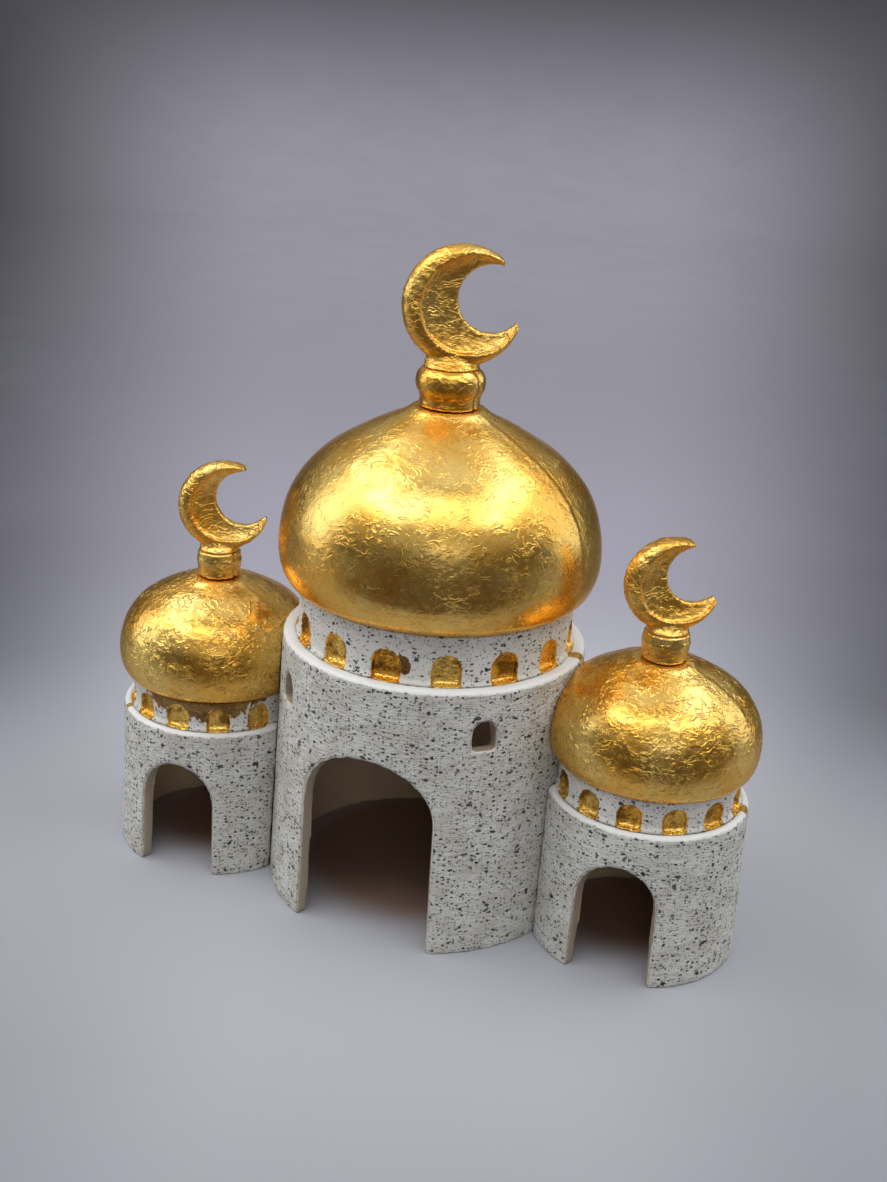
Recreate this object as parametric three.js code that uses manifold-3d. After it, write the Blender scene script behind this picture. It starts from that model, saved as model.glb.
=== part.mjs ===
// Miniature landmark model: a souvenir of three domed towers in a row.
//
// Millimetres, +Z up. The origin lies on the main tower's axis, on the plane that the object
// stands on. The doorways face -Y, and the two side towers stand at -X and +X, a little forward.
//
// Each tower is a stack of five loose castings: an open-bottomed shell with a doorway, a drum
// ring whose skirt drops into the shell's rim, a hollow dome whose spigot drops into the drum,
// a collar on the dome's crown, and a crescent whose pin passes through the collar into the
// crown. The side castings are hollowed on one flank, to fit against the main tower's wall.

import * as THREE from 'three';
import { mergeVertices } from 'three/addons/utils/BufferGeometryUtils.js';
import Module from 'manifold-3d';

const wasm = await Module();
wasm.setup();
const { Manifold, Mesh: SolidMesh } = wasm;

const GAP = 0.3;            // clearance between castings that touch
const TILT = 0.0295;        // the shells widen by this much per millimetre towards the base
const SIDE_X = 54.9;        // distance of the side towers from the main axis
const SIDE_Y = -3.7;        // the side towers stand this far in front of the main axis
const SKIRT = 3;            // how deep each ring drops into the piece below it
const SHOULDER = 1.6;       // width of the seat that the drum's skirt rests on
const LIP = 0.5;            // rounding of the rim at the top of a shell
const PAST = 1;             // how far a cutter runs past the surface that it cuts
const ROOT = 0.5;           // how far a solid runs into the one that it is joined to
const PIN_SIDES = 16;
const COLLAR_SIDES = 20;

// One tower. Heights are from the base, except those of a drum, niche, dome or collar, which
// are from its own foot. A doorway's or window's turn is in degrees from the front, towards +X.
// spring is where an arch starts to curve, and crown is its top. A dome's outline runs from its
// lower edge to its crown, as [radius, height], and waist is the index of its point where the
// hollow starts to follow it. A crescent lies between two circles: inner and
// shift are the smaller one's radius and offset, as parts of the larger one's radius, turn is
// how far (in degrees) the horns tip up, and sway is the crescent's offset from the axis. The
// horns are cut off blunt, this far (in radians) before they would come to a point.
const MAIN = {
  name: 'main',
  position: [0, 0],
  sides: 64,
  ledge: { radius: 35.5, height: 64.5 },
  wall: 3.3,
  door: { turn: -4.2, halfWidth: 16.4, spring: 31.5, crown: 46.1 },
  windows: [-48, 38.5],
  drum: { radius: 32, wall: 4, height: 11.4, niches: 15 },
  niche: { width: 6.3, spring: 3.8, crown: 7, depth: 1.2 },
  dome: {
    wall: 4,
    sides: 48,
    waist: 3,
    outline: [
      [32.3, 0.3], [33.9, 1.2], [35.6, 3.2], [36.9, 7], [37.1, 11.5], [36.3, 17.2], [34.4, 22.6],
      [31, 27.6], [25.6, 32.6], [17.2, 37.6], [11, 40.6], [8.2, 42.4],
    ],
  },
  collar: { neck: 6.8, bead: 7.8, top: 6.4, height: 8.6 },
  crescent: { radius: 13.2, thickness: 8, sway: 1.5, inner: 0.56, shift: 0.505, turn: 16, blunt: 0.25 },
  pin: 2,
};

const SIDE = {
  sides: 48,
  ledge: { radius: 23, height: 37.6 },
  wall: 3,
  door: { halfWidth: 9.3, spring: 18.3, crown: 28.6 },
  windows: [],
  drum: { radius: 20.7, wall: 3.2, height: 7.2, niches: 13 },
  niche: { width: 5.2, spring: 3.1, crown: 5.6, depth: 1 },
  dome: {
    wall: 3,
    sides: 36,
    waist: 3,
    outline: [
      [20.9, 0.3], [22.2, 1], [23.4, 3.2], [23.9, 6.6], [23.4, 10.8], [21.9, 14.8], [18.7, 18.8],
      [12.8, 22.4], [8.6, 24.1], [6.6, 25.1],
    ],
  },
  collar: { neck: 5, bead: 5.3, top: 4.9, height: 6.2 },
  crescent: { radius: 10.5, thickness: 6.6, inner: 0.62, shift: 0.5, turn: 24, blunt: 0.18 },
  pin: 1.6,
};

/** A side tower, with the few values in which the left and the right one differ. */
function sideTower(name, x, doorTurn, sway) {
  return {
    ...SIDE,
    name,
    position: [x, SIDE_Y],
    door: { ...SIDE.door, turn: doorTurn },
    crescent: { ...SIDE.crescent, sway },
  };
}

const TOWERS = [
  MAIN,
  sideTower('left', -SIDE_X, 1, 1.1),
  sideTower('right', SIDE_X, -2, -0.2),
];

const WINDOW = { width: 5.6, sill: 50.4, spring: 54.6, crown: 57.4 };

// Every crescent faces a little towards +X. Its bevel is a part of its outer radius.
const CRESCENT = { yaw: 22, bevel: 0.1 };

// Straight steps in a quarter turn of each curve.
const STEPS = { doorway: 6, niche: 3, crescent: 5 };

const STONE = { color: 0xd9dad6, roughness: 0.7, metalness: 0 };
const GOLD = { color: 0xc79a35, roughness: 0.35, metalness: 0.9 };

const radians = THREE.MathUtils.degToRad;

// ---------------------------------------------------------------- solids

/** A three.js geometry as a manifold-3d solid. */
function solid(geometry) {
  const bare = geometry.index ? geometry.toNonIndexed() : geometry.clone();
  bare.deleteAttribute('normal');
  bare.deleteAttribute('uv');
  const merged = mergeVertices(bare, 1e-5);
  const vertProperties = new Float32Array(merged.attributes.position.array);
  const triVerts = new Uint32Array(dropSlivers(merged.index.array));
  return new Manifold(new SolidMesh({ numProp: 3, vertProperties, triVerts }));
}

/** Triangle indices without the triangles that merging has closed up. */
function dropSlivers(index) {
  const kept = [];
  for (let i = 0; i < index.length; i += 3) {
    const [a, b, c] = [index[i], index[i + 1], index[i + 2]];
    if (a !== b && b !== c && c !== a) kept.push(a, b, c);
  }
  return kept;
}

/** A manifold-3d solid as a named, flat-shaded three.js mesh. */
function mesh(name, body, finish) {
  const { vertProperties, triVerts } = body.getMesh();
  const geometry = new THREE.BufferGeometry();
  geometry.setAttribute('position', new THREE.BufferAttribute(vertProperties, 3));
  geometry.setIndex(new THREE.BufferAttribute(triVerts, 1));
  geometry.computeVertexNormals();
  const material = new THREE.MeshStandardMaterial({ ...finish, flatShading: true });
  const result = new THREE.Mesh(geometry, material);
  result.name = name;
  return result;
}

/** A solid of revolution about Z, from an outline of [radius, height] points, outside upwards. */
function turned(outline, sides) {
  const points = [...outline, outline[0]].map(([r, z]) => new THREE.Vector2(r, z));
  return solid(new THREE.LatheGeometry(points, sides).rotateX(Math.PI / 2));
}

/** A plain disc or cylinder about Z, between two heights. */
function rod(radius, low, high, sides) {
  return turned([[0, low], [radius, low], [radius, high], [0, high]], sides);
}

/** An upright opening with a half-elliptical head: x is its width, y its height. */
function arch(halfWidth, sill, spring, crown) {
  const shape = new THREE.Shape();
  shape.moveTo(-halfWidth, sill);
  shape.lineTo(halfWidth, sill);
  shape.lineTo(halfWidth, spring);
  shape.absellipse(0, spring, halfWidth, crown - spring, 0, Math.PI, false, 0);
  return shape;
}

/** An arch cut radially through a round wall, centred on an angle from the front (-Y). */
function radialArch({ shape, steps, wallRadius, inner, outer, turn }) {
  const block = new THREE.ExtrudeGeometry(shape, {
    depth: outer - inner,
    bevelEnabled: false,
    curveSegments: steps,
  });
  const place = block.attributes.position;
  for (let i = 0; i < place.count; i += 1) {
    const angle = place.getX(i) / wallRadius + radians(turn);
    const radius = inner + place.getZ(i);
    const height = place.getY(i);
    place.setXYZ(i, radius * Math.sin(angle), -radius * Math.cos(angle), height);
  }
  return solid(block);
}

// ---------------------------------------------------------------- the main tower's wall

/** Outer radius of a shell at a height above the base. */
function shellRadius({ ledge }, height) {
  return ledge.radius + (ledge.height - height) * TILT;
}

/**
 * The main tower's outside, grown by a clearance, in the frame of a piece whose origin is at
 * `height` on a side tower's axis. Cutting with it hollows the piece's flank.
 */
function mainWall(tower, height, clearance) {
  const top = MAIN.ledge.height;
  const wall = turned([
    [0, -PAST],
    [shellRadius(MAIN, -PAST) + clearance, -PAST],
    [MAIN.ledge.radius + clearance, top],
    [0, top],
  ], MAIN.sides);
  const [x, y] = tower.position;
  return wall.translate([-x, -y, -height]);
}

/** Cuts a piece back from the main wall, unless it belongs to the main tower. */
function clearOfMain(tower, body, height, clearance) {
  return tower === MAIN ? body : body.subtract(mainWall(tower, height, clearance));
}

// ---------------------------------------------------------------- pieces

/** A shell's hollow: the room, open at the bottom, and the rebate that the drum drops into. */
function shellHollow(tower) {
  const { ledge, wall, sides, drum } = tower;
  const bore = drum.radius - SHOULDER;
  const top = ledge.height;
  const room = turned([
    [0, -PAST],
    [shellRadius(tower, 0) - wall, -PAST],
    [bore, top - wall],
    [bore, top + PAST],
    [0, top + PAST],
  ], sides);
  const rebate = rod(drum.radius + GAP, top - SKIRT - GAP, top + PAST, sides);
  return clearOfMain(tower, room.add(rebate), 0, GAP + wall);
}

/** The doorway and windows of a shell, as cutters through its wall. */
function shellOpenings(tower) {
  const { ledge, door, windows } = tower;
  const reach = {
    wallRadius: ledge.radius,
    inner: ledge.radius * 0.7,
    outer: shellRadius(tower, 0) * 1.2,
  };
  const doorway = arch(door.halfWidth, -PAST, door.spring, door.crown);
  const light = arch(WINDOW.width / 2, WINDOW.sill, WINDOW.spring, WINDOW.crown);
  return [
    radialArch({ ...reach, shape: doorway, steps: STEPS.doorway, turn: door.turn }),
    ...windows.map((turn) => radialArch({ ...reach, shape: light, steps: STEPS.niche, turn })),
  ];
}

/** The open-bottomed wall of a tower, with a rounded rim that shows as the ledge. */
function towerShell(tower) {
  const { name, ledge, sides } = tower;
  const outside = turned([
    [0, 0],
    [shellRadius(tower, 0), 0],
    [ledge.radius, ledge.height - LIP],
    [ledge.radius - LIP, ledge.height],
    [0, ledge.height],
  ], sides);
  let shell = clearOfMain(tower, outside, 0, GAP).subtract(shellHollow(tower));
  for (const opening of shellOpenings(tower)) shell = shell.subtract(opening);
  return mesh(`${name}_tower_shell`, shell, STONE);
}

/** A ring of the drum between two heights, kept clear of the main wall on its flank. */
function drumBand(tower, low, high, clearance) {
  const { drum, sides, ledge } = tower;
  const outside = rod(drum.radius, low, high, sides);
  const inside = rod(drum.radius - drum.wall, low - PAST, high + PAST, sides);
  return clearOfMain(tower, outside, ledge.height, clearance)
    .subtract(clearOfMain(tower, inside, ledge.height, clearance + drum.wall));
}

/** The ring above the ledge, its skirt, and its row of blind arched niches. Origin at the ledge. */
function drumRing(tower) {
  const { name, drum, niche, wall } = tower;
  const cutter = {
    shape: arch(niche.width / 2, GAP, niche.spring, niche.crown),
    steps: STEPS.niche,
    wallRadius: drum.radius,
    inner: drum.radius - niche.depth,
    outer: drum.radius + PAST,
  };
  let body = drumBand(tower, GAP, drum.height, GAP)
    .add(drumBand(tower, -SKIRT, GAP + ROOT, GAP + wall + GAP));
  for (let i = 0; i < drum.niches; i += 1) {
    body = body.subtract(radialArch({ ...cutter, turn: (360 * i) / drum.niches }));
  }
  return mesh(`${name}_drum`, body, STONE);
}

/** A point of a dome's outline moved inwards by its wall, towards the height of its waist. */
function inset([radius, height], wall, waist) {
  const slope = Math.atan2(height - waist, radius);
  return [radius - wall * Math.cos(slope), height - wall * Math.sin(slope)];
}

/** A dome's hollow: it follows the outline above the waist, and is open through the spigot. */
function domeHollow({ dome: { wall, sides, outline, waist }, drum }) {
  const mouth = drum.radius - drum.wall - GAP - wall;
  const shoulder = outline.slice(waist, -2).map((point) => inset(point, wall, outline[waist][1]));
  const floor = -SKIRT - PAST;
  return turned([[0, floor], [mouth, floor], ...shoulder, [0, shoulder.at(-1)[1]]], sides);
}

/** The onion dome, with a spigot below and a pin hole in its crown. Origin at the drum's top. */
function dome(tower) {
  const { name, dome: { wall, sides, outline }, drum, ledge, pin } = tower;
  const base = ledge.height + drum.height;
  const crown = outline.at(-1)[1];
  const skin = turned([[0, GAP], ...outline, [0, crown]], sides);
  const spigot = rod(drum.radius - drum.wall - GAP, -SKIRT, GAP + ROOT, sides);
  const flank = GAP + drum.wall + GAP;
  const body = clearOfMain(tower, skin, base, GAP)
    .add(clearOfMain(tower, spigot, base, flank))
    .subtract(clearOfMain(tower, domeHollow(tower), base, flank + wall))
    .subtract(rod(pin + GAP, outline.at(-3)[1] - wall * 2, crown + PAST, PIN_SIDES));
  return mesh(`${name}_dome`, body, GOLD);
}

/** The beaded ring between the dome's crown and the crescent. */
function finialCollar(tower) {
  const { name, collar: { neck, bead, top, height }, pin } = tower;
  const bore = pin + GAP;
  const body = turned([
    [bore, 0],
    [neck, 0],
    [neck, height * 0.28],
    [bead, height * 0.45],
    [bead, height * 0.62],
    [top, height * 0.88],
    [top, height],
    [bore, height],
  ], COLLAR_SIDES);
  return mesh(`${name}_finial_collar`, body, GOLD);
}

/** A crescent between two circles, drawn in by a bevel, with its horns opening towards +X. */
function crescentShape({ radius, inner, shift, blunt }, bevel) {
  const outside = radius - bevel;
  const hole = radius * inner + bevel;
  const offset = radius * shift;
  const tip = (offset ** 2 + outside ** 2 - hole ** 2) / (2 * offset);
  const outerTip = Math.acos(tip / outside) + blunt;
  const innerTip = Math.acos((tip - offset) / hole) + blunt;
  const shape = new THREE.Shape();
  shape.absarc(0, 0, outside, outerTip, 2 * Math.PI - outerTip, false);
  shape.absarc(offset, 0, hole, 2 * Math.PI - innerTip, innerTip, true);
  return shape;
}

/** The bevelled crescent plate, upright across Y, with its lowest point at the height GAP. */
function crescentPlate(size) {
  const { radius, thickness, sway, turn } = size;
  const bevel = radius * CRESCENT.bevel;
  const plate = new THREE.ExtrudeGeometry(crescentShape(size, bevel), {
    depth: thickness - 2 * bevel,
    bevelThickness: bevel,
    bevelSize: bevel,
    bevelSegments: 2,
    curveSegments: STEPS.crescent * 2,
  });
  plate.translate(0, 0, bevel - thickness / 2);
  plate.rotateZ(radians(turn));
  plate.rotateX(Math.PI / 2);
  plate.translate(sway, 0, radius + GAP);
  return solid(plate);
}

/** The crescent, the foot that it stands on, and the pin that holds it. Origin at the foot. */
function crescent(tower) {
  const { crescent: { radius }, collar, pin, dome: { outline } } = tower;
  const foot = turned([
    [0, GAP],
    [collar.top * 0.98, GAP],
    [collar.top * 0.9, radius * 0.14],
    [collar.top * 0.82, radius * 0.27],
    [0, radius * 0.27],
  ], COLLAR_SIDES);
  const pinLength = collar.height + outline.at(-1)[1] - outline.at(-4)[1];
  const stem = rod(pin, -pinLength, GAP + ROOT, PIN_SIDES);
  const body = crescentPlate(tower.crescent).add(foot).add(stem);
  const result = mesh(`${tower.name}_crescent`, body, GOLD);
  result.rotation.z = radians(CRESCENT.yaw);
  return result;
}

/** One whole tower: each piece is set at the height of the one that it stands on. */
function buildTower(tower) {
  const group = new THREE.Group();
  group.position.set(...tower.position, 0);
  const drumTop = tower.ledge.height + tower.drum.height;
  const crown = drumTop + tower.dome.outline.at(-1)[1] + GAP;
  const stack = [
    [towerShell(tower), 0],
    [drumRing(tower), tower.ledge.height],
    [dome(tower), drumTop],
    [finialCollar(tower), crown],
    [crescent(tower), crown + tower.collar.height],
  ];
  for (const [piece, height] of stack) {
    piece.position.z = height;
    group.add(piece);
  }
  return group;
}

const landmark = new THREE.Group();
TOWERS.forEach((tower) => landmark.add(buildTower(tower)));

export default landmark;
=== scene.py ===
"""Miniature landmark model: three gilded onion domes on speckled stone towers, each with a crescent.

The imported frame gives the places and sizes. Every casting is rebuilt here as a finer mesh:
shells and drums from their frame solids, domes and collars as turned profiles, and crescents
as a swept, dished section. Shapes are worked out in millimetres and stored in metres.
Angles round a tower are in degrees from its front (-Y), towards +X.
"""

import math

import bmesh
import bpy
import numpy as np
from mathutils import Matrix, Vector, noise


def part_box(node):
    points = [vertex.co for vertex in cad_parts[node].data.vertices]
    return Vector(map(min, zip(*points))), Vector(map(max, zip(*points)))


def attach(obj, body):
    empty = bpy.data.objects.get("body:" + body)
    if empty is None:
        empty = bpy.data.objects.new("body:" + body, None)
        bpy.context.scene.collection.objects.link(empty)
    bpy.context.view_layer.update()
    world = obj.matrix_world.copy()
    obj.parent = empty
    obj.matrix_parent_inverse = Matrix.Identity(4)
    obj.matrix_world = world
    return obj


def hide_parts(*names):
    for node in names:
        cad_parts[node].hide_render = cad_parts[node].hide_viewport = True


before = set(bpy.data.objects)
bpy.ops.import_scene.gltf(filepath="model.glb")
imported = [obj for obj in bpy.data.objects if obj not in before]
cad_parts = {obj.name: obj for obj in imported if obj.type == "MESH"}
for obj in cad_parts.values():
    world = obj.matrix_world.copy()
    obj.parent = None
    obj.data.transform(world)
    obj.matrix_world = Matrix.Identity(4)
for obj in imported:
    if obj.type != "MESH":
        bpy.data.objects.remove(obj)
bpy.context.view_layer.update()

MM = 0.001                   # one millimetre, in metres

# ---------------------------------------------------------------- driving dimensions (mm)

GAP = 0.3                    # clearance between castings that touch
TILT = 0.0295                # the shells widen by this much per millimetre towards the base
SKIRT = 3.0                  # how deep each ring drops into the piece below it
CHAMFER = 0.3                # on the edges at the foot of a dome's spigot
SHOULDER = 1.6               # width of the seat that a drum rests on
EVEN_WALL = 3.0              # the main shell's wall, below the seat of its drum
SHELL_VOXEL = 0.6            # mesh size of the shells
DRUM_VOXEL = 0.34            # mesh size of the drums, with their small niches
CRESCENT_VOXEL = 0.27        # mesh size of the crescents
FAR = 99.0                   # a distance from an opening that no point of a shell reaches

# ledge is a shell's radius at its top, and sides is how many sides the frame's solids have.
# Doors, windows and niches are arches: half their width, and the heights of the sill, of the
# spring of the arch and of its crown (for niches, from the ledge). A stain on a drum, or a drip
# on a ledge, is an oval of gold paint: its angle, its height from the ledge, half its width and
# half its height. A crescent's inner circle has its radius and shift as shares of the outer
# one's. turn is where its mouth points, in degrees above level; sway is how far it stands to
# the side of its pin; band is its rounded rim; and blunt, in radians, is cut off each horn.

MAIN = {
    "name": "main", "sides": 64, "ledge": 35.5, "wall": 3.3,
    "door": {"turn": -4.2, "half": 16.4, "sill": -9.0, "spring": 31.5, "crown": 46.1},
    "windows": [-48.0, 38.5],
    "drum": {"radius": 32.0, "wall": 4.0, "niches": 15},
    "stains": [(7.0, 4.2, 2.0, 2.2)],
    "drips": [(92.0, 0.2, 1.7, 1.5)],
    "niche": {"half": 3.15, "sill": 0.3, "spring": 3.8, "crown": 7.0},
    "dome": {
        "wall": 4.0, "waist": 7.0, "wrinkle": 0.045, "step": 0.5,
        "outline": [(32.3, 0.3), (33.9, 1.2), (35.6, 3.2), (36.9, 7), (37.1, 11.5), (36.3, 17.2),
                    (34.4, 22.6), (31, 27.6), (25.6, 32.6), (17.2, 37.6), (11, 40.6), (8.2, 42.4)],
    },
    "collar": {"neck": 6.8, "bead": 7.8, "top": 6.4},
    "crescent": {"radius": 13.2, "inner": 0.56, "shift": 0.505, "turn": 16.0, "sway": 1.5,
                 "thickness": 8.0, "band": 3.9, "blunt": 0.25},
    "pin": 2.0,
}
SIDE = {
    "sides": 48, "ledge": 23.0, "wall": 3.0, "windows": [],
    "drum": {"radius": 20.7, "wall": 3.2, "niches": 13},
    "stains": [],
    "niche": {"half": 2.6, "sill": 0.3, "spring": 3.1, "crown": 5.6},
    "dome": {
        "wall": 3.0, "waist": 6.6, "wrinkle": 0.075, "step": 0.42,
        "outline": [(20.9, 0.3), (22.2, 1), (23.4, 3.2), (23.9, 6.6), (23.4, 10.8), (21.9, 14.8),
                    (18.7, 18.8), (12.8, 22.4), (8.6, 24.1), (6.6, 25.1)],
    },
    "collar": {"neck": 5.0, "bead": 5.3, "top": 4.9},
    "pin": 1.6,
}
SIDE_DOOR = {"half": 9.3, "sill": -9.0, "spring": 18.3, "crown": 28.6}
SIDE_CRESCENT = {"thickness": 6.6, "band": 3.1, "blunt": 0.27}
LEFT = {
    **SIDE, "name": "left",
    "door": {**SIDE_DOOR, "turn": 1.0},
    "stains": [(14, 7.4, 15, 4.6)],
    "drips": [(-48.0, 0.0, 1.0, 1.0)],
    "crescent": {**SIDE_CRESCENT, "radius": 10.8, "inner": 0.61, "shift": 0.475,
                 "turn": 23.0, "sway": 1.1},
}
RIGHT = {
    **SIDE, "name": "right",
    "door": {**SIDE_DOOR, "turn": -2.0},
    "drips": [(89.0, 0.2, 1.7, 1.4)],
    "crescent": {**SIDE_CRESCENT, "radius": 10.5, "inner": 0.6, "shift": 0.527,
                 "turn": 26.0, "sway": -0.2},
}
TOWERS = [MAIN, LEFT, RIGHT]
WINDOW = {"half": 2.8, "sill": 50.4, "spring": 54.6, "crown": 57.4}
CRESCENT_YAW = 22.0          # every crescent faces this far towards +X

SEAM = {                     # the mould seam of a dome, and its groove in a collar
    "turn": 76.0, "setback": 0.1, "ridge": 0.07, "groove": 0.3, "spread": 6.0,
}

CAMERA = {                   # place in mm and angles in degrees
    "place": (97.9, -294.7, 191.3), "azimuth": 18.107, "elevation": 20.630, "roll": 3.778,
    "lens": 43.27, "film": 36.0,
}


def place_of(tower):
    """The tower's axis and the heights of its castings, in mm, read from the frame."""
    low, high = (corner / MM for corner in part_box(f"{tower['name']}_finial_collar"))
    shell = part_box(f"{tower['name']}_tower_shell")
    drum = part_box(f"{tower['name']}_drum")
    return {
        "axis": np.array([(low.x + high.x) / 2, (low.y + high.y) / 2, 0.0]),
        "ledge": shell[1].z / MM,
        "drum_top": drum[1].z / MM,
        "crown": low.z,
        "collar_top": high.z,
    }


# ---------------------------------------------------------------- mesh tools

def build_mesh(name, points, faces):
    """A smooth mesh object from points in mm and lists of indices, with its faces out."""
    data = bpy.data.meshes.new(name)
    data.from_pydata((np.asarray(points) * MM).tolist(), [], [list(f) for f in faces])
    work = bmesh.new()
    work.from_mesh(data)
    bmesh.ops.recalc_face_normals(work, faces=work.faces)
    work.to_mesh(data)
    work.free()
    data.polygons.foreach_set("use_smooth", [True] * len(data.polygons))
    made = bpy.data.objects.new(name, data)
    bpy.context.scene.collection.objects.link(made)
    return made


def read_points(data):
    """The vertices of a mesh, in mm."""
    flat = np.empty(len(data.vertices) * 3)
    data.vertices.foreach_get("co", flat)
    return flat.reshape(-1, 3) / MM


def read_normals(data):
    flat = np.empty(len(data.vertices) * 3)
    data.vertex_normals.foreach_get("vector", flat)
    return flat.reshape(-1, 3)


def write_points(data, points):
    """Moves the vertices of a mesh to points in mm."""
    data.vertices.foreach_set("co", (points * MM).ravel())
    data.update()


def set_measure(data, name, values):
    """Stores one number per vertex for the materials."""
    layer = data.attributes.new(name, "FLOAT", "POINT")
    layer.data.foreach_set("value", np.asarray(values, np.float32))


def remeshed(source, name, voxel, rounding):
    """A new object: source as an even net of quads, voxel mm wide, with its edges rounded."""
    copy = bpy.data.objects.new(name, source.data.copy())
    bpy.context.scene.collection.objects.link(copy)
    net = copy.modifiers.new("net", "REMESH")
    net.mode = "VOXEL"
    net.voxel_size = voxel * MM
    net.use_smooth_shade = True
    soften = copy.modifiers.new("soften", "SMOOTH")
    soften.factor = 0.5
    soften.iterations = rounding
    bpy.context.view_layer.update()
    graph = bpy.context.evaluated_depsgraph_get()
    fine = bpy.data.meshes.new_from_object(copy.evaluated_get(graph))
    fine.name = name
    fine.materials.clear()
    bpy.data.objects.remove(copy)
    made = bpy.data.objects.new(name, fine)
    bpy.context.scene.collection.objects.link(made)
    return made


def grain(points, size, seed, stretch=1.0):
    """Smooth noise from about -1 to 1. Its features are size mm wide, and flatter by stretch."""
    at = points / size + seed * 17.31
    at[:, 2] *= stretch
    return np.array([noise.noise(p) for p in at.tolist()])


def worms(points, size, seed, stretch=1.5):
    """Raised creases with a wandering course, from 0 to 1; flatter than wide by stretch."""
    bend = np.stack([grain(points, size * 2.2, seed + n) for n in (1, 2, 3)], 1)
    level = grain(points + bend * size * 0.9, size, seed, stretch)
    return np.clip(1 - 2.4 * np.abs(level), 0, 1) ** 1.5


def ease(value, low, high):
    """0 below low, 1 above high, with a smooth step between."""
    t = np.clip((value - low) / (high - low), 0, 1)
    return t * t * (3 - 2 * t)


def bearing(points):
    """Angle round the tower's axis, in degrees from the front towards +X."""
    return np.degrees(np.arctan2(points[:, 0], -points[:, 1]))


def turn_between(angle, centre):
    """The signed turn from centre to angle, from -180 to 180 degrees."""
    return (angle - centre + 180) % 360 - 180


def curve_through(knots, step):
    """Points about step mm apart on a smooth curve through the knots (Catmull-Rom)."""
    knots = np.asarray(knots, float)
    ends = np.vstack([2 * knots[0] - knots[1], knots, 2 * knots[-1] - knots[-2]])
    t = np.linspace(0, 1, 24, endpoint=False)[:, None]
    dense = []
    for a, b, c, d in zip(ends, ends[1:], ends[2:], ends[3:]):
        square, cube = t * t, t * t * t
        dense.append(0.5 * (2 * b + (c - a) * t + (2 * a - 5 * b + 4 * c - d) * square
                            + (3 * b - a - 3 * c + d) * cube))
    return evenly(np.vstack([*dense, knots[-1:]]), step)


def evenly(line, step):
    """The same line with its points about step mm apart."""
    along = np.concatenate([[0], np.cumsum(np.linalg.norm(np.diff(line, axis=0), axis=1))])
    at = np.linspace(0, along[-1], max(2, round(along[-1] / step) + 1))
    return np.stack([np.interp(at, along, line[:, k]) for k in range(line.shape[1])], 1)


def turned_net(profile, segments):
    """Points and quads of a closed (radius, height) outline turned about Z."""
    angle = np.linspace(0, 2 * math.pi, segments, endpoint=False)
    r, z = profile[:, :1], profile[:, 1:2]
    points = np.stack([r * np.sin(angle), -r * np.cos(angle), z + 0 * angle], 2).reshape(-1, 3)
    return points, closed_quads(len(profile), segments)


def closed_quads(rows, columns):
    """Quads of a net that closes on itself both ways."""
    i, j = np.meshgrid(np.arange(rows), np.arange(columns), indexing="ij")
    down, across = (i + 1) % rows, (j + 1) % columns
    corners = [i * columns + j, i * columns + across, down * columns + across, down * columns + j]
    return np.stack(corners, 2).reshape(-1, 4)


# ---------------------------------------------------------------- shape rules

def shell_radius(tower, ledge, height):
    """The outer radius of a shell at a height, in mm."""
    return tower["ledge"] + np.clip(ledge - height, 0, None) * TILT


def clear_of_main(points, clearance):
    """Moves points on a side tower out of the main tower's wall, grown by clearance."""
    ledge = PLACES["main"]["ledge"]
    away = np.hypot(points[:, 0], points[:, 1])
    wall = MAIN["ledge"] + (ledge - points[:, 2]) * TILT + clearance
    push = np.where(points[:, 2] < ledge + 1, np.clip(wall - away, 0, None), 0)
    moved = points.copy()
    moved[:, :2] *= (1 + push / away)[:, None]
    return moved


def arch_distance(across, up, arch):
    """Signed distance in mm, about, to an arched opening's edge: negative inside it."""
    rise = arch["crown"] - arch["spring"]
    head = np.hypot(across / arch["half"], (up - arch["spring"]) / rise) - 1
    head *= min(arch["half"], rise)
    sides = np.maximum(np.abs(across) - arch["half"], arch["sill"] - up)
    return np.where(up > arch["spring"], head, sides)


def stain_depth(points, height, radius, stains):
    """How far each point is inside a paint stain: 1 in its middle, 0 at its edge, less outside."""
    inside = np.full(len(points), -9.0)
    for turn, level, wide, tall in stains:
        beside = turn_between(bearing(points), turn) * radius * np.radians(1)
        inside = np.maximum(inside, 1 - np.hypot(beside / wide, (height - level) / tall))
    return inside


def round_off(points, sides):
    """Turns a sided prism about the axis into a round one."""
    facet = 2 * math.pi / sides
    angle = np.arctan2(points[:, 0], -points[:, 1])
    swell = np.cos((angle % facet) - facet / 2) / math.cos(facet / 2)
    rounded = points.copy()
    rounded[:, :2] *= swell[:, None]
    return rounded


PLACES = {tower["name"]: place_of(tower) for tower in TOWERS}


# ---------------------------------------------------------------- shells and drums

def slimmer(tower, ledge, points, depth):
    """Depths in a shell's wall, drawn out so that it is even below the seat of the drum.

    The frame's shell has a room that narrows straight up to the bore under the drum.
    """
    height, outer = points[:, 2], depth + np.hypot(points[:, 0], points[:, 1])
    foot = shell_radius(tower, ledge, 0) - tower["wall"]
    bore = tower["drum"]["radius"] - SHOULDER
    inner = foot + (bore - foot) * np.clip(height / (ledge - tower["wall"]), 0, 1)
    even = EVEN_WALL / (outer - inner)
    return depth * (even + (1 - even) * ease(height, ledge - 14, ledge - 6))


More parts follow.
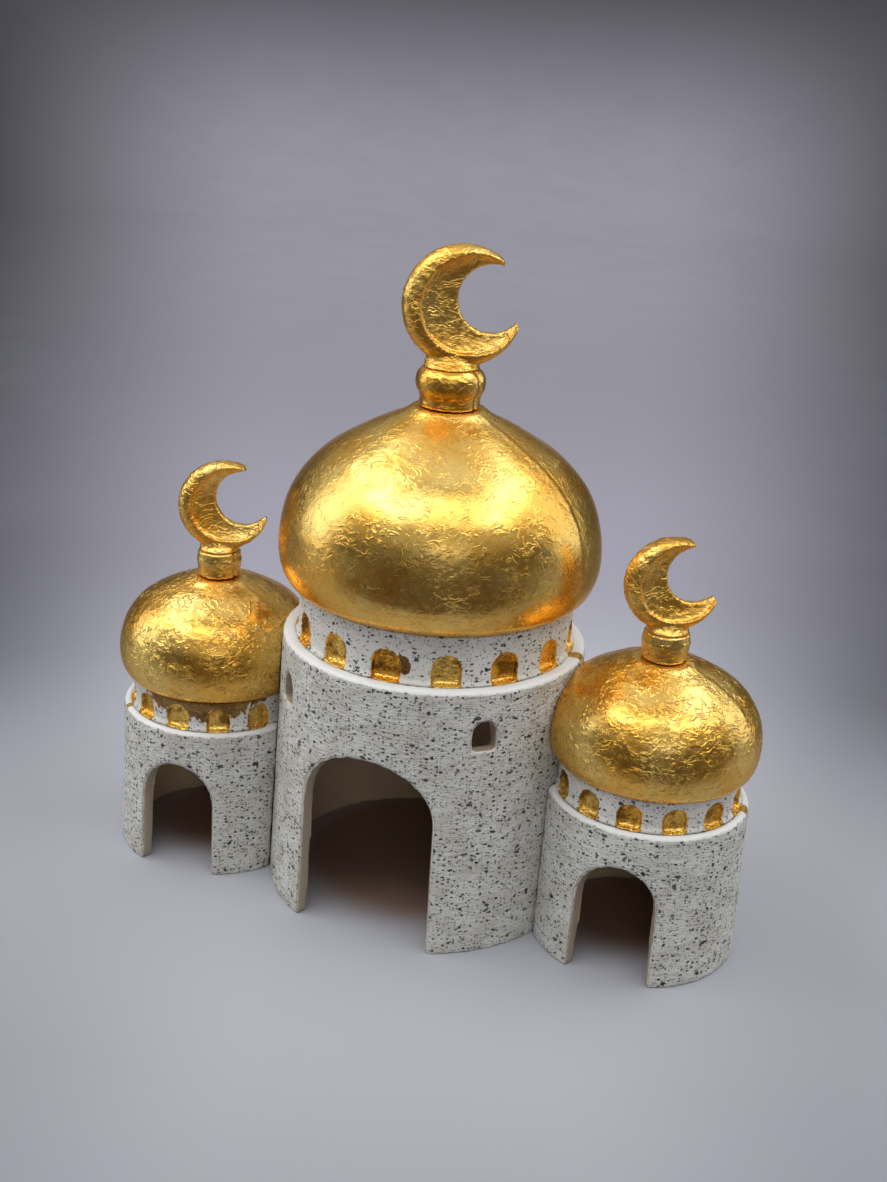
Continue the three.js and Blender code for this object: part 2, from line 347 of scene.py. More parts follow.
def tower_shell(tower):
    """The open-bottomed wall with its doorway, windows and rounded ledge."""
    name, spot = f"{tower['name']}_tower_shell", PLACES[tower["name"]]
    piece = remeshed(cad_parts[name], f"{name}_cast", SHELL_VOXEL, 3)
    points = round_off(read_points(piece.data) - spot["axis"], tower["sides"])
    wall = shell_radius(tower, spot["ledge"], points[:, 2])
    across = np.hypot(points[:, 0], points[:, 1])
    depth = wall - across
    if tower is MAIN:
        depth = slimmer(tower, spot["ledge"], points, depth)
        points[:, :2] *= ((wall - depth) / across)[:, None]
    arc = tower["ledge"] * np.radians(1)
    openings = [(tower["door"], tower["door"]["turn"])]
    openings += [(WINDOW, turn) for turn in tower["windows"]]
    edge = np.full(len(points), FAR)
    for arch, turn in openings:
        sideways = turn_between(bearing(points), turn) * arc
        edge = np.minimum(edge, arch_distance(sideways, points[:, 2], arch))
    normals = read_normals(piece.data)
    outside = 1 - ease(depth, 0.6, 1.6)
    # broad waves and finer grit, with pits; none on the ledge or at the openings' edges
    texture = 0.10 * grain(points, 9, 3) + 0.07 * grain(points, 2.6, 5, 1.7)
    pits = ease(grain(points, 1.9, 8, 1.4), 0.42, 0.6) * 0.16
    below = ease(spot["ledge"] - points[:, 2], 1, 2)
    lump = (texture - pits) * outside * ease(edge, 0.3, 1.5) * below
    points = points + normals * lump[:, None]
    write_points(piece.data, points + spot["axis"])
    rim = spot["ledge"] - points[:, 2]
    set_measure(piece.data, "depth", depth)
    set_measure(piece.data, "edge", edge)
    set_measure(piece.data, "rim", rim)
    set_measure(piece.data, "stain", stain_depth(points, -rim, tower["ledge"], tower["drips"]))
    return piece


def drum(tower):
    """The ring above the ledge, with its row of blind arched niches."""
    name, spot = f"{tower['name']}_drum", PLACES[tower["name"]]
    piece = remeshed(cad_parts[name], f"{name}_cast", DRUM_VOXEL, 2)
    points = round_off(read_points(piece.data) - spot["axis"], tower["sides"])
    radius, niche = tower["drum"]["radius"], tower["niche"]
    pitch = 360 / tower["drum"]["niches"]
    sideways = turn_between(bearing(points), 0)
    sideways = ((sideways + pitch / 2) % pitch - pitch / 2) * radius * np.radians(1)
    height = points[:, 2] - spot["ledge"]
    edge = arch_distance(sideways, height, niche)
    depth = radius - np.hypot(points[:, 0], points[:, 1])
    normals = read_normals(piece.data)
    rough = 0.06 * grain(points, 4, 2) + 0.05 * grain(points, 1.3, 6)
    outside = 1 - ease(depth, 1.5, 2.5)
    points = points + normals * (rough * outside)[:, None]
    outside *= height > 0
    # the foot spreads and comes down to the ledge, so that the joint looks closed
    foot = (1 - ease(height, 0.2, 1.1)) * outside * ease(edge, -0.4, 0.2)
    points[:, :2] *= (1 + 0.8 * foot / radius)[:, None]
    points[:, 2] -= (1 - ease(height, 0.3, 0.8)) * outside * GAP * 0.9
    write_points(piece.data, points + spot["axis"])
    set_measure(piece.data, "depth", depth)
    set_measure(piece.data, "edge", edge)
    set_measure(piece.data, "rim", height)
    set_measure(piece.data, "stain", stain_depth(points, height, radius, tower["stains"]))
    return piece


# ---------------------------------------------------------------- domes and collars

def dome_profile(tower, step):
    """The closed outline of a hollow dome, with two facts about its points.

    They are each point's clearance from the main wall, and how many lie on the outer skin.
    """
    shape, ring = tower["dome"], tower["drum"]
    outer = curve_through(shape["outline"], step)
    flat = outer[-1, 1]
    bore = tower["pin"] + GAP
    knots = outer[outer[:, 1] > shape["waist"]][:: round(4 / step)]
    slope = np.arctan2(knots[:, 1] - shape["waist"], knots[:, 0])
    inner = knots - shape["wall"] * np.stack([np.cos(slope), np.sin(slope)], 1)
    inner = inner[inner[:, 0] > bore + 2]
    spigot = ring["radius"] - ring["wall"] - GAP
    mouth = spigot - shape["wall"]
    ceiling = inner[-1, 1]
    parts = [
        (outer, GAP),
        (evenly(np.array([[outer[-1, 0] - 0.4, flat + 0.05], [bore, flat]]), 0.8), GAP),
        (evenly(np.array([[bore, flat - 0.4], [bore, ceiling]]), 1.5), 0),
        (inner[::-1], ring["wall"] + 2 * GAP + shape["wall"]),
        (np.array([[mouth, shape["waist"] - 2], [mouth, 0], [mouth, -SKIRT + CHAMFER],
                   [mouth + CHAMFER, -SKIRT]]), ring["wall"] + 2 * GAP + shape["wall"]),
        (np.array([[spigot - CHAMFER, -SKIRT], [spigot, -SKIRT + CHAMFER], [spigot, 0],
                   [spigot + 0.2, GAP]]), ring["wall"] + 2 * GAP),
        (evenly(np.array([[spigot + 0.6, GAP], [outer[0, 0] - 0.4, GAP]]), 0.7), GAP),
    ]
    profile = np.vstack([part for part, _ in parts])
    clearance = np.concatenate([np.full(len(part), gap) for part, gap in parts])
    return profile, clearance, len(outer)


def dome(tower):
    """The onion dome: creased gold skin, mould seam, hollow, and spigot."""
    name, spot = f"{tower['name']}_dome", PLACES[tower["name"]]
    step = tower["dome"]["step"]
    profile, clearance, rows = dome_profile(tower, step)
    widest = profile[:, 0].max()
    segments = round(2 * math.pi * widest / step / 4) * 4
    points, quads = turned_net(profile, segments)
    skin = np.arange(len(points)) < rows * segments
    radius = np.hypot(points[:, 0], points[:, 1])
    seam = turn_between(bearing(points), SEAM["turn"])
    past = seam * radius * np.radians(1)
    behind = ease(past, 0, 0.9) * (1 - ease(seam, 179, 180))
    lip = np.exp(-((past + 0.5) / 0.8) ** 2)
    height = points[:, 2]
    high = ease(height, 9, 18)
    relief = lip * SEAM["ridge"] - behind * SEAM["setback"] * high
    wrinkle = tower["dome"]["wrinkle"]
    patches = 0.35 + 0.65 * ease(grain(points, 16, 4), -0.3, 0.35)
    folds = worms(points, 3.4, 11, 2.0) + 0.6 * worms(points, 2.0, 23, 2.2) - 0.5
    relief += wrinkle * (patches * folds + 1.2 * grain(points, 7, 9))
    relief *= ease(height, 0.3, 1.5) * ease(tower["collar"]["neck"] + 3.5 - radius, 3.5, 0)
    piece = build_mesh(f"{name}_cast", points + [0, 0, spot["drum_top"]] + spot["axis"], quads)
    normals = read_normals(piece.data)
    moved = read_points(piece.data) + normals * (relief * skin)[:, None]
    if tower is not MAIN:
        moved = clear_of_main(moved, np.repeat(clearance, segments))
    write_points(piece.data, moved)
    return piece


def finial_collar(tower):
    """The beaded ring between the dome's crown and the crescent."""
    name, spot = f"{tower['name']}_finial_collar", PLACES[tower["name"]]
    size, bore = tower["collar"], tower["pin"] + GAP
    tall = spot["collar_top"] - spot["crown"]
    neck, bead, top = size["neck"], size["bead"], size["top"]
    outer = curve_through([
        (neck - 0.3, 0), (neck, 0.25), (neck, tall * 0.22),
        (neck + (bead - neck) * 0.3, tall * 0.34), (bead - 0.12, tall * 0.5),
        (bead, tall * 0.65), (bead - 0.2, tall * 0.8),
        (top + (bead - top) * 0.4, tall * 0.92), (top, tall * 0.97), (top - 0.3, tall),
    ], 0.25)
    inner = evenly(np.array([[bore, tall], [bore, 0]]), 1)
    points, quads = turned_net(np.vstack([outer, inner]), 160)
    skin = np.hypot(points[:, 0], points[:, 1]) > bore + 0.1
    relief = 0.12 * grain(points, 3.2, 5) + 0.1 * worms(points, 1.8, 7)
    seam = turn_between(bearing(points), SEAM["turn"])
    relief -= SEAM["groove"] * np.exp(-(seam / SEAM["spread"]) ** 2)
    piece = build_mesh(f"{name}_cast", points + [0, 0, spot["crown"]] + spot["axis"], quads)
    moved = read_points(piece.data) + read_normals(piece.data) * (relief * skin)[:, None]
    moved[:, 2] = np.clip(moved[:, 2], spot["crown"], spot["collar_top"])
    write_points(piece.data, moved)
    return piece


# ---------------------------------------------------------------- crescents

def crescent_section(width, band, thick):
    """Half of the crescent's section: [distance from the outer edge, half thickness].

    A rounded rim, band mm wide, falls to a dished face that is thinnest at the inner edge.
    """
    band = min(band, 0.42 * width)
    roll = np.linspace(0, 1, 9) * math.pi / 2
    outer = np.stack([band * (1 - np.cos(roll)), thick * np.sin(roll) ** 0.8], 1)
    run = np.linspace(0.04, 1, 12)
    dish = thick * (0.8 - 0.46 * (1 - (1 - run) ** 1.7))
    face = np.stack([band + (width - 0.5 - band) * run, dish], 1)
    edge = np.array([[width - 0.12, dish[-1] * 0.72]])
    return np.vstack([outer, face, edge])


def crescent_net(size):
    """Points and faces of the dished plate, upright in X and Z, centred on its outer circle."""
    radius = size["radius"]
    hole, offset = radius * size["inner"], radius * size["shift"]
    meet = (offset ** 2 + radius ** 2 - hole ** 2) / (2 * offset)
    outer_end = math.acos(meet / radius) + size["blunt"]
    inner_end = math.acos((meet - offset) / hole) + size["blunt"]
    turn = math.radians(size["turn"])
    rows, stations = [], 90
    centre = offset * np.array([math.cos(turn), math.sin(turn)])
    for t in np.linspace(0, 1, stations):
        a = outer_end + t * (2 * math.pi - 2 * outer_end) + turn
        b = inner_end + t * (2 * math.pi - 2 * inner_end) + turn
        rim = radius * np.array([math.cos(a), math.sin(a)])
        hollow = centre + hole * np.array([math.cos(b), math.sin(b)])
        width = np.linalg.norm(hollow - rim)
        inwards = (hollow - rim) / width
        horn = math.sin(math.pi * t) ** 0.45
        thick = size["thickness"] / 2 * (0.62 + 0.38 * horn)
        half = crescent_section(width, size["band"], thick)
        loop = np.vstack([half, half[:0:-1] * [1, -1]])
        flat = rim + loop[:, :1] * inwards
        rows.append(np.stack([flat[:, 0], -loop[:, 1], flat[:, 1]], 1))
    around = len(rows[0])
    quads = closed_quads(stations, around)[: (stations - 1) * around].tolist()
    ends = [list(range(around))[::-1], list(range((stations - 1) * around, stations * around))]
    return np.vstack(rows), quads + ends


def crescent(tower):
    """The crescent with its foot and the pin that goes down through the collar."""
    name, spot = f"{tower['name']}_crescent", PLACES[tower["name"]]
    size, top = tower["crescent"], tower["collar"]["top"]
    plate, faces = crescent_net(size)
    plate = plate + [size["sway"], 0, size["radius"] + GAP]
    tall = size["radius"] * 0.32
    foot_line = [(0.01, 0.02), (top, 0.02), (top * 0.96, tall * 0.12), (top * 0.93, tall * 0.35),
                 (top * 0.9, tall * 0.6), (top * 0.7, tall * 0.92), (0.01, tall)]
    foot, foot_faces = turned_net(np.array(foot_line), 48)
    slim = size["thickness"] * 0.5 / (top * 0.9)
    foot[:, 1] *= slim + (1 - slim) * (1 - ease(foot[:, 2], 0, tall * 0.5))
    drop = spot["collar_top"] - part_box(name)[0].z / MM
    pin_line = [(0.01, -drop), (tower["pin"], -drop), (tower["pin"], 1), (0.01, 1)]
    pin, pin_faces = turned_net(np.array(pin_line), 32)
    points, everything = plate, list(faces)
    for extra, extra_faces in ((foot, foot_faces), (pin, pin_faces)):
        everything += (extra_faces + len(points)).tolist()
        points = np.vstack([points, extra])
    yaw = Matrix.Rotation(math.radians(CRESCENT_YAW), 3, "Z")
    points = points @ np.array(yaw).T + [0, 0, spot["collar_top"]] + spot["axis"]
    rough_form = build_mesh(f"{name}_form", points, everything)
    piece = remeshed(rough_form, f"{name}_cast", CRESCENT_VOXEL, 2)
    bpy.data.objects.remove(rough_form)
    points = read_points(piece.data)
    relief = 0.1 * grain(points, 2.4, 2) + 0.1 * worms(points, 1.7, 13)
    relief += 0.05 * grain(points, 0.9, 8)
    relief *= ease(points[:, 2] - spot["collar_top"], 0.3, 1.2)
    write_points(piece.data, points + read_normals(piece.data) * relief[:, None])
    return piece


# ---------------------------------------------------------------- materials

class Finish:
    """A node material while it is put together."""

    def __init__(self, name):
        self.material = bpy.data.materials.new(name)
        self.material.use_nodes = True
        self.tree = self.material.node_tree
        self.tree.nodes.clear()
        place = self.node("TexCoord").outputs["Object"]
        self.mm = self.vector("SCALE", place, Scale=1 / MM)

    def node(self, kind, inputs=None, **settings):
        """A new shader node with these settings. inputs are numbers, colours or sockets."""
        made = self.tree.nodes.new("ShaderNode" + kind)
        for key, value in settings.items():
            setattr(made, key, value)
        for key, value in (inputs or {}).items():
            self.feed(made.inputs[key], value)
        return made

    def feed(self, socket, value):
        if isinstance(value, bpy.types.NodeSocket):
            self.tree.links.new(value, socket)
        else:
            socket.default_value = value

    def vector(self, operation, a, b=None, c=None, **named):
        inputs = {0: a, **named}
        if b is not None:
            inputs[1] = b
        if c is not None:
            inputs[2] = (c, c, c)
        return self.node("VectorMath", inputs, operation=operation).outputs[0]

    def math(self, operation, a, b=0.0, c=0.0):
        inputs = {0: a, 1: b, 2: c}
        return self.node("Math", inputs, operation=operation).outputs[0]

    def ramp(self, value, low, high, to_low=0.0, to_high=1.0):
        """A smooth step of value from low to high."""
        inputs = {0: value, 1: low, 2: high, 3: to_low, 4: to_high}
        return self.node("MapRange", inputs, interpolation_type="SMOOTHSTEP").outputs[0]

    def mix(self, share, a, b):
        """Colour a, changing to colour b as share goes from 0 to 1."""
        made = self.node("Mix", {0: share, 6: a, 7: b}, data_type="RGBA")
        return made.outputs[2]

    def measure(self, name):
        """A number that set_measure stored on the mesh."""
        return self.node("Attribute", attribute_name=name).outputs["Fac"]

    def noise(self, size, detail=2.0, roughness=0.5, stretch=(1, 1, 1), shift=0.0):
        """Noise from 0 to 1 with features about size mm wide."""
        at = self.vector("MULTIPLY", self.mm, stretch)
        at = self.vector("ADD", at, (shift, shift * 1.7, shift * 0.6))
        inputs = {"Vector": at, "Scale": 1 / size, "Detail": detail, "Roughness": roughness}
        return self.node("TexNoise", inputs).outputs[0]

    def creases(self, size, width, shift):
        """Short raised lines with a wandering course, from 0 to 1."""
        wobble = self.node("TexNoise", {"Vector": self.mm, "Scale": 0.6 / size, "Detail": 2.0})
        bend = self.vector("SUBTRACT", wobble.outputs["Color"], (0.5, 0.5, 0.5))
        at = self.vector("ADD", self.mm, self.vector("SCALE", bend, Scale=size * 2.5))
        at = self.vector("MULTIPLY_ADD", at, (1, 1, 2.6), shift)
        level = self.node("TexNoise", {"Vector": at, "Scale": 1 / size, "Detail": 1.0})
        near = self.math("ABSOLUTE", self.math("SUBTRACT", level.outputs[0], 0.5))
        breaks = self.noise(size * 1.1, stretch=(1, 1, 1.6), shift=shift + 5)
        return self.math("MULTIPLY", self.ramp(near, width, 0.0), self.ramp(breaks, 0.43, 0.55))

    def specks(self, cell, largest, keep, shift=0.0):
        """Scattered grains, 1 inside a grain: one to a cell, and up to largest mm in radius.

        keep is the share of cells that hold a grain. The grains are wider than tall.
        """
        wobble = self.node("TexNoise", {"Vector": self.mm, "Scale": 2.2 / cell, "Detail": 2.0})
        bend = self.vector("SUBTRACT", wobble.outputs["Color"], (0.5, 0.5, 0.5))
        at = self.vector("MULTIPLY", self.mm, (1, 1, 1.5))
        at = self.vector("ADD", at, (shift, shift, shift))
        at = self.vector("ADD", at, self.vector("SCALE", bend, Scale=cell * 0.9))
        inputs = {"Vector": at, "Scale": 1 / cell, "Randomness": 1.0}
        cells = self.node("TexVoronoi", inputs, feature="F1")
        chance = self.node("SeparateColor", {0: cells.outputs["Color"]}).outputs[0]
        radius = self.ramp(chance, 1 - keep, 1.0, 0.0, largest / cell)
        gap = self.math("SUBTRACT", radius, cells.outputs["Distance"])
        return self.ramp(gap, 0.0, 0.04)

    def finish(self, normal_height, strength, depth_mm, **sockets):
        """Ends the material with a Principled shader under a bump of this height field."""
        bump = self.node("Bump", {"Height": normal_height, "Strength": strength,
                                  "Distance": depth_mm * MM})
        inputs = {key.replace("_", " "): value for key, value in sockets.items()}
        inputs["Normal"] = bump.outputs[0]
        shader = self.node("BsdfPrincipled", inputs)
        output = self.node("OutputMaterial")
        self.tree.links.new(shader.outputs[0], output.inputs[0])
        return self.material


def colour(red, green, blue):
    """A linear colour from its sRGB values from 0 to 255."""
    def linear(value):
        value /= 255
        return value / 12.92 if value <= 0.04045 else ((value + 0.055) / 1.055) ** 2.4
    return (linear(red), linear(green), linear(blue), 1.0)


GOLD_BRIGHT = colour(243, 206, 112)
GOLD_DEEP = colour(238, 180, 70)
GOLD_EDGE = colour(247, 205, 130)
GOLD_DULL = colour(222, 184, 84)
# darker gold: painted shade in the niches' recesses, and the darker gold of the overspray on a drum
GOLD_SHADE = colour(112, 72, 18)
RIM_WHITE = colour(240, 241, 240)
STONE_WHITE = colour(229, 228, 221)
STONE_GREY = colour(210, 207, 195)
# painted shade in the grooves of the stone's horizontal striations
STONE_GROOVE_SHADE = colour(170, 168, 161)
SPECK_DARK = colour(50, 51, 54)
SPECK_GREY = colour(104, 104, 104)
CREAM = colour(216, 212, 200)
JAMB = colour(168, 152, 130)
ROOM = colour(246, 218, 178)


def gold_layers(f, crease, shift):
    """Colour, roughness and relief of the gold paint."""
    wide = f.noise(14, 3.0, shift=shift)
    fine = f.noise(1.2, 3.0, 0.6, shift=shift + 3)
    patch = f.ramp(f.noise(9, 2.0, shift=shift + 29), 0.4, 0.6, 0.5, 1.0)
    tone = f.mix(f.ramp(wide, 0.35, 0.65), GOLD_DEEP, GOLD_BRIGHT)
    tone = f.mix(f.ramp(f.noise(5, 3.0, shift=shift + 7), 0.5, 0.72, 0.0, 0.5), tone, GOLD_DULL)
    folds = f.creases(3.6, 0.07, shift + 11)
    threads = f.creases(1.9, 0.08, shift + 19)
    rough = f.ramp(fine, 0.3, 0.7, 0.24, 0.3)
    relief = f.math("MULTIPLY", f.math("ADD", folds, f.math("MULTIPLY", threads, 0.35)), crease)
    relief = f.math("MULTIPLY", relief, patch)
    relief = f.math("ADD", relief, f.math("MULTIPLY", fine, 0.04))
    return tone, rough, relief


def gold_finish(name, crease, strength, shift, satin=0.0):
    """Gold paint under a soft varnish. satin makes it duller; strength is the bump's."""
    f = Finish(name)
    tone, rough, relief = gold_layers(f, crease, shift)
    rough = f.math("ADD", rough, satin)
    return f.finish(relief, strength, 0.25, Base_Color=tone, Metallic=0.95, Roughness=rough,
                    Specular_Tint=GOLD_EDGE, Coat_Weight=0.6, Coat_Roughness=0.24)


def stone_layers(f, density):
    """Colour, speck mask and relief of the speckled casting."""
    tone = f.mix(f.ramp(f.noise(7, 4.0, 0.6), 0.35, 0.65), STONE_GREY, STONE_WHITE)
    # grains of three sizes, the small ones paler
    coarse = f.specks(2.3, 0.8, 0.36 * density)
    medium = f.specks(1.05, 0.46, 0.65 * density, shift=40.0)
    fine = f.specks(0.6, 0.26, 0.8 * density, shift=90.0)
    dots = f.math("MAXIMUM", coarse, f.math("MAXIMUM", medium, f.math("MULTIPLY", fine, 0.85)))
    grit = f.noise(0.5, 3.0, 0.7, stretch=(1, 1, 1.8))
    lines = f.noise(1.5, 3.0, 0.65, stretch=(0.5, 0.5, 2.6), shift=5)
    # painted shade: the stone darkens where the striations' relief is low, in its grooves
    tone = f.mix(f.ramp(lines, 0.5, 0.34, 0.0, 0.45), tone, STONE_GROOVE_SHADE)
    relief = f.math("ADD", f.math("MULTIPLY", grit, 0.5), lines)
    relief = f.math("SUBTRACT", relief, f.math("MULTIPLY", dots, 0.4))
    return tone, dots, relief


def speck_colour(f):
    """Near black to grey, from grain to grain."""
    return f.mix(f.ramp(f.noise(1.7, 1.0, shift=21), 0.4, 0.62), SPECK_DARK, SPECK_GREY)


def stain_mask(f):
    """1 inside a paint stain, with a ragged edge."""
    inside = f.math("MULTIPLY_ADD", f.noise(1.4, 2.0, shift=9), 0.9, f.measure("stain"))
    return f.ramp(inside, 0.4, 0.5)


def shell_finish():
    """Speckled stone outside, plain rim and edges, brown inside, and drips of gold."""
    f = Finish("speckled_stone")
    tone, dots, relief = stone_layers(f, 1.0)
    ragged = f.math("MULTIPLY_ADD", f.noise(1.2, 2.0, shift=13), 0.9, -0.45)
    rim = f.ramp(f.math("ADD", f.measure("rim"), ragged), 0.5, 0.9)
    edge = f.ramp(f.math("ADD", f.measure("edge"), ragged), 0.15, 0.4)
    speckled = f.math("MULTIPLY", rim, edge)
    dots = f.math("MULTIPLY", dots, speckled)
    tone = f.mix(rim, RIM_WHITE, tone)
    tone = f.mix(edge, CREAM, tone)
    tone = f.mix(dots, tone, speck_colour(f))
    below = f.ramp(f.measure("rim"), 0.6, 1.6)
    depth = f.math("ADD", f.measure("depth"), f.math("MULTIPLY", ragged, 0.6))
    tone = f.mix(f.math("MULTIPLY", f.ramp(depth, 0.15, 0.55), below), tone, JAMB)
    tone = f.mix(f.math("MULTIPLY", f.ramp(f.measure("depth"), 2.4, 3.6), below), tone, ROOM)
    gold, gold_rough, _ = gold_layers(f, 1.0, 60.0)
    drip = stain_mask(f)
    rough = f.mix(drip, f.ramp(speckled, 0.0, 1.0, 0.38, 0.68), gold_rough)
    relief = f.math("MULTIPLY", relief, f.math("MULTIPLY_ADD", speckled, 0.85, 0.15))
    return f.finish(relief, 1.0, 0.5, Base_Color=f.mix(drip, tone, gold),
                    Metallic=f.math("MULTIPLY", drip, 0.9), Roughness=rough)


def drum_finish():
    """Whiter stone with fewer specks, and gold in the niches, with painted shade in their recesses.
    """
    f = Finish("niched_stone")
    tone, dots, relief = stone_layers(f, 0.85)
    tone = f.mix(0.45, tone, STONE_WHITE)
    tone = f.mix(dots, tone, speck_colour(f))
    gold, gold_rough, gold_relief = gold_layers(f, 1.2, 50.0)
    # patchy tone and painted shade: the niches' gold darkens in patches above the sill, as the shade
    # in a recess, and the sill stays bright
    patchy_recess_shade = f.math("MULTIPLY", f.ramp(f.noise(5, 3.0, 0.7, shift=33), 0.42, 0.6), 0.85)
    gold = f.mix(f.math("MULTIPLY", patchy_recess_shade, f.ramp(f.measure("rim"), 1.0, 1.8)), gold, GOLD_SHADE)
    ragged = f.math("MULTIPLY_ADD", f.noise(1.0, 2.0, shift=17), 0.8, -0.4)
    edge = f.math("ADD", f.measure("edge"), ragged)
    gilt = f.ramp(edge, 0.32, 0.18)
    outer = f.ramp(f.measure("depth"), 3.0, 2.2)
    spray = stain_mask(f)
    gold = f.mix(f.math("MULTIPLY", spray, f.ramp(edge, 0.2, 0.5, 0.0, 0.75)), gold, GOLD_SHADE)
    gilt = f.math("MULTIPLY", f.math("MAXIMUM", gilt, f.math("MULTIPLY", spray, 0.95)), outer)
    rough = f.mix(gilt, (0.62, 0.62, 0.62, 1), gold_rough)
    relief = f.math("ADD", f.math("MULTIPLY", relief, 0.7), f.math("MULTIPLY", gold_relief, gilt))
    return f.finish(relief, 0.5, 0.3, Base_Color=f.mix(gilt, tone, gold),
                    Metallic=f.math("MULTIPLY", gilt, 0.9), Roughness=rough)


# ---------------------------------------------------------------- the set

def floor_finish():
    """Pale grey with painted light and shade along and across the line of sight, and painted shade
    with brown bounce light under the rooms.
    """
    f = Finish("studio_floor")
    flat = f.vector("MULTIPLY", f.mm, (1, 1, 0))
    sight = math.radians(CAMERA["azimuth"])
    ahead = np.array([-math.sin(sight), math.cos(sight), 0])
    aside = np.array([math.cos(sight), math.sin(sight), 0])

    def measured(operation, inputs):
        return f.node("VectorMath", inputs, operation=operation).outputs["Value"]

    beyond = measured("DOT_PRODUCT", {0: f.mm, 1: tuple(ahead)})
    across = measured("DOT_PRODUCT", {0: f.mm, 1: tuple(aside)})
    # painted light and shade, from near to far: dim, palest under the object as a painted pool of
    # light, dim behind it, pale in the distance
    tone = f.mix(f.ramp(beyond, -150, 10), colour(147, 148, 156), colour(182, 184, 192))
    tone = f.mix(f.ramp(beyond, 50, 230), tone, colour(156, 155, 167))
    tone = f.mix(f.ramp(beyond, 400, 1500), tone, colour(236, 234, 248))
    # painted shade: darker towards both sides, in a wedge that widens with distance
    reach = f.math("ADD", f.math("MAXIMUM", beyond, -80.0), 320.0)
    spread = f.math("DIVIDE", f.math("ABSOLUTE", across), reach)
    sides = f.math("MULTIPLY", f.ramp(spread, 0.12, 0.38), f.ramp(beyond, -30, 150, 0.3, 1.0))
    tone = f.mix(sides, tone, colour(78, 78, 88))
    # painted shade: darker where the floor curves up
    rise = f.node("SeparateXYZ", {0: f.mm}).outputs["Z"]
    tone = f.mix(f.ramp(rise, 20, 380), tone, colour(110, 108, 120))
    # painted shade with a brown tint of bounce light: brown in each room, a little back from the
    # doorway
    for tower in TOWERS:
        spot = PLACES[tower["name"]]
        offset = f.vector("SUBTRACT", flat, tuple(spot["axis"] + 7 * ahead))
        within = measured("LENGTH", {0: offset})
        inner = shell_radius(tower, spot["ledge"], 0) - tower["wall"] / 2
        tone = f.mix(f.ramp(within, inner + 2, inner - 12), tone, colour(140, 112, 94))
    shade = f.mix(f.ramp(f.noise(60, 2.0), 0.3, 0.7, 0.0, 0.06), tone, colour(150, 150, 160))
    return f.finish(f.noise(3, 2.0), 0.02, 0.2, Base_Color=shade, Roughness=0.75)


def studio_floor():
    """A wide pale floor that curves up far from the object."""
    flat, bend, segments = 1400.0, 800.0, 96
    rise = np.linspace(0.1, 1.5, 10)
    level = np.linspace(20.0, flat, 12)
    reach = np.concatenate([level, flat + np.sin(rise) * bend])
    lift = np.concatenate([0 * level, bend * (1 - np.cos(rise))])
    points, quads = turned_net(np.stack([reach, lift], 1), segments)
    quads = quads[: (len(reach) - 1) * segments].tolist()
    floor = build_mesh("studio_floor", points, quads + [list(range(segments))])
    floor.data.materials.append(floor_finish())


def dark_card():
    """A dark brown card in front of the object, hidden from the camera, from diffuse light and from
    shadows: a painted reflection, seen only in the object's gloss.
    """
    # distance in front of the axis, and height: flat near the object, then turned up
    line = np.array([(125, 1.0), (420, 1.0), (600, 15.0), (680, 80.0), (700, 310.0)])
    side = np.linspace(-450, 450, 7)
    points = np.array([(x, -y, z) for y, z in line for x in side])
    columns = len(side)
    faces = closed_quads(len(line), columns).reshape(len(line), columns, 4)[:-1, :-1]
    card = build_mesh("dark_card", points, faces.reshape(-1, 4).tolist())
    card.matrix_world = Matrix.Rotation(math.radians(CAMERA["azimuth"]), 4, "Z")
    f = Finish("dark_card")
    shade = f.mix(f.noise(120), colour(34, 17, 3), colour(62, 34, 7))
    card.data.materials.append(f.finish(f.noise(4), 0.02, 0.2, Base_Color=shade, Roughness=0.9))
    card.visible_camera = card.visible_diffuse = card.visible_shadow = False


def soft_light(name, place, size, power):
    """A soft lamp of this size (m) and power (W) that faces the middle of the object."""
    data = bpy.data.lights.new(name, "AREA")
    data.shape = "RECTANGLE"
    data.size, data.size_y = size
    data.energy = power
    lamp = bpy.data.objects.new(name, data)
    bpy.context.scene.collection.objects.link(lamp)
    lamp.location = Matrix.Rotation(math.radians(CAMERA["azimuth"]), 3, "Z") @ Vector(place)
    aim = Vector((0, 0, 0.08)) - lamp.location
    lamp.rotation_euler = aim.to_track_quat("-Z", "Y").to_euler()


def studio_lights():
    """Three overhead lamps and four fills, set out round the camera's direction."""
    soft_light("front_lamp", (0.0, -0.36, 0.78), (1.0, 0.28), 2.3)
    soft_light("left_lamp", (-0.46, 0.02, 0.75), (0.75, 0.25), 2.4)
    soft_light("right_lamp", (0.46, 0.02, 0.75), (0.75, 0.25), 2.1)
    soft_light("top_fill", (0.0, 0.3, 0.95), (0.9, 0.7), 1.0)
    soft_light("left_fill", (-0.9, 0.1, 0.42), (0.5, 0.8), 2.2)
    soft_light("right_fill", (0.9, 0.2, 0.42), (0.5, 0.8), 1.5)
    soft_light("low_fill", (0.1, -1.2, 0.45), (0.5, 0.5), 1.1)
    world = bpy.data.worlds.new("studio_world")
    world.use_nodes = True
    back = world.node_tree.nodes["Background"]
    back.inputs["Color"].default_value = (0.64, 0.64, 0.66, 1)
    back.inputs["Strength"].default_value = 0.5
    bpy.context.scene.world = world
    bpy.context.scene.view_settings.view_transform = "Standard"


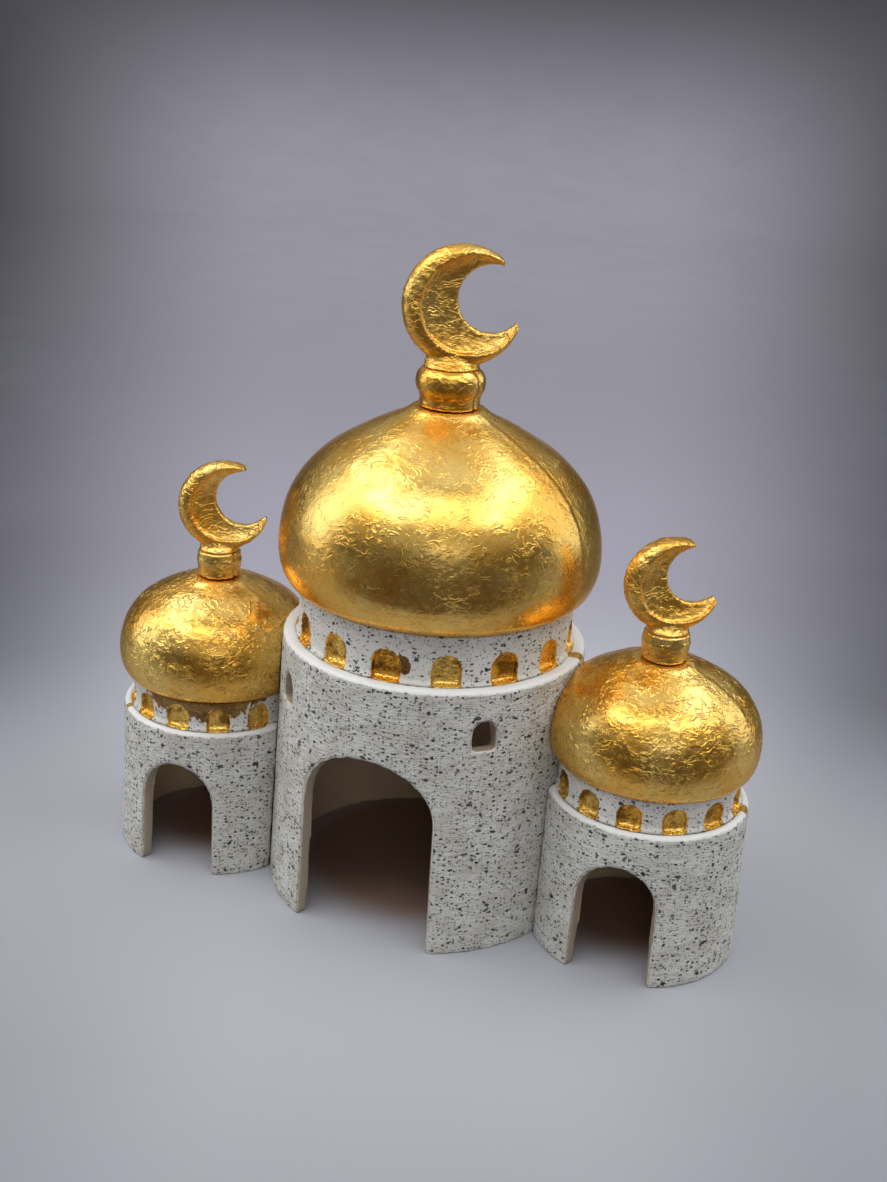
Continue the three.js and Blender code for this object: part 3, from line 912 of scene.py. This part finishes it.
def studio_camera():
    """The camera, turned from the front towards +X, tipped down and rolled."""
    data = bpy.data.cameras.new("camera")
    data.lens = CAMERA["lens"]
    data.sensor_fit = "VERTICAL"
    data.sensor_height = CAMERA["film"]
    data.clip_start = 0.01
    azimuth, elevation, roll = (math.radians(CAMERA[k]) for k in ("azimuth", "elevation", "roll"))
    ahead = Vector((-math.sin(azimuth) * math.cos(elevation),
                    math.cos(azimuth) * math.cos(elevation), -math.sin(elevation)))
    level = Vector((math.cos(azimuth), math.sin(azimuth), 0))
    upright = level.cross(ahead)
    right = level * math.cos(roll) + upright * math.sin(roll)
    up = upright * math.cos(roll) - level * math.sin(roll)
    camera = bpy.data.objects.new("camera", data)
    bpy.context.scene.collection.objects.link(camera)
    turn = Matrix((right, up, -ahead)).transposed().to_4x4()
    camera.matrix_world = Matrix.Translation(Vector(CAMERA["place"]) * MM) @ turn
    bpy.context.scene.camera = camera


# ---------------------------------------------------------------- assembly

MAKERS = {
    "tower_shell": (tower_shell, "speckled_stone"),
    "drum": (drum, "niched_stone"),
    "dome": (dome, "gilded_dome"),
    "finial_collar": (finial_collar, "gilded_finial"),
    "crescent": (crescent, "gilded_finial"),
}


def finish_for(kind, tower, shared):
    """The material of one kind of casting. Side domes are more creased than the main one."""
    key = kind + ("_main" if kind == "dome" and tower is MAIN else "")
    if key not in shared:
        shared[key] = {
            "tower_shell": shell_finish,
            "drum": drum_finish,
            "dome_main": lambda: gold_finish("gilded_dome_main", 0.7, 0.4, 0.0),
            "dome": lambda: gold_finish("gilded_dome_side", 1.1, 0.6, 20.0),
            "finial_collar": lambda: gold_finish("gilded_collar", 0.8, 0.5, 35.0, 0.04),
            "crescent": lambda: gold_finish("gilded_crescent", 0.9, 0.7, 42.0, 0.09),
        }[key]()
    return shared[key]


def build_towers():
    """Every casting of every tower, in place of its solid in the frame."""
    shared = {}
    for tower in TOWERS:
        for kind, (maker, slot) in MAKERS.items():
            piece = maker(tower)
            piece.data.materials.append(finish_for(kind, tower, shared))
            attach(piece, "root")
            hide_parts(f"{tower['name']}_{kind}")


studio_camera()
studio_lights()
studio_floor()
dark_card()
build_towers()
